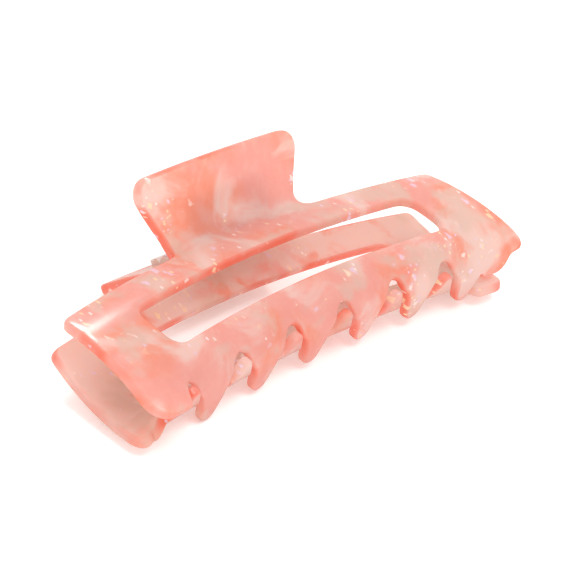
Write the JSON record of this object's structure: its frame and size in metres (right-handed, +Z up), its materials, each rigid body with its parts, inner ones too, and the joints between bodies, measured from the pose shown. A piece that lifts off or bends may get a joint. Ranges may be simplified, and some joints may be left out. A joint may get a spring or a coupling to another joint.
{
  "type": "claw clip",
  "caption": "Large rectangular claw clip in marbled acetate: two arched, windowed jaws with interlocking teeth on a sprung hinge pin.",
  "frame": {"origin": "middle of the part's footprint, on the surface it lies on", "axes": "+X along the clip's length, +Y towards the thumb tabs, +Z up from the rear jaw to the front jaw"},
  "size_m": [0.1099, 0.0459, 0.0282],
  "materials": {
    "acetate": "polished",
    "steel": "satin"
  },
  "bodies": {
    "rear": {"rear_jaw": "acetate", "rear_bracket": "acetate", "hinge_pin": "steel", "torsion_spring": "steel"},
    "front": {"front_jaw": "acetate", "front_bracket": "acetate"}
  },
  "joints": [
    {"name": "jaw_hinge", "type": "hinge", "parent": "rear", "child": "front", "pos_m": [0, 0.01119, 0.01248], "axis": [-0.9999, 0.0024, -0.0137], "range_deg": [0, 65], "stiffness_Nm_per_rad": 0.12, "springref_deg": -34.38, "deforming": ["torsion_spring"]}
  ]
}
